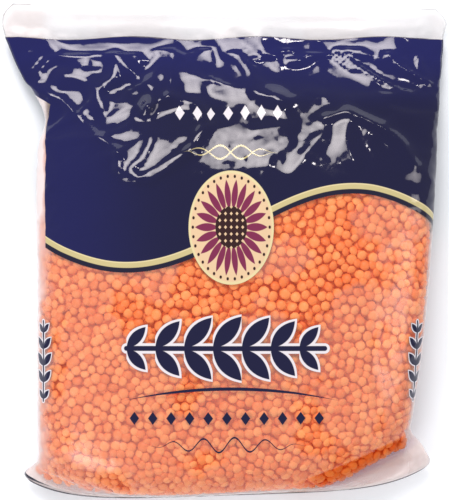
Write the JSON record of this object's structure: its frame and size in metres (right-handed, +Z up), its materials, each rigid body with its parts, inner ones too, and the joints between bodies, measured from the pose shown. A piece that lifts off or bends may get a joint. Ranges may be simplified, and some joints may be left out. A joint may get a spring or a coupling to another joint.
{
  "type": "bag of lentils",
  "caption": "Sealed clear film bag of dry red lentils, lying on its back: a filled pillow with a flat empty header above and a seal with two small ears below.",
  "frame": {"origin": "on the floor under the middle of the lying bag", "axes": "+Z up, out of the bag's printed front; +Y towards the bag's top edge; +X to the right of the front"},
  "size_m": [0.2031, 0.226, 0.0401],
  "materials": {
    "printed_film": "clear glossy polypropylene film, reverse-printed in dark blue and gold over orange-red lentils",
    "lentils": "dry hulled red lentils, smooth and slightly dusty"
  },
  "bodies": {
    "root": {"lentil_bag": "printed_film"}
  },
  "joints": []
}
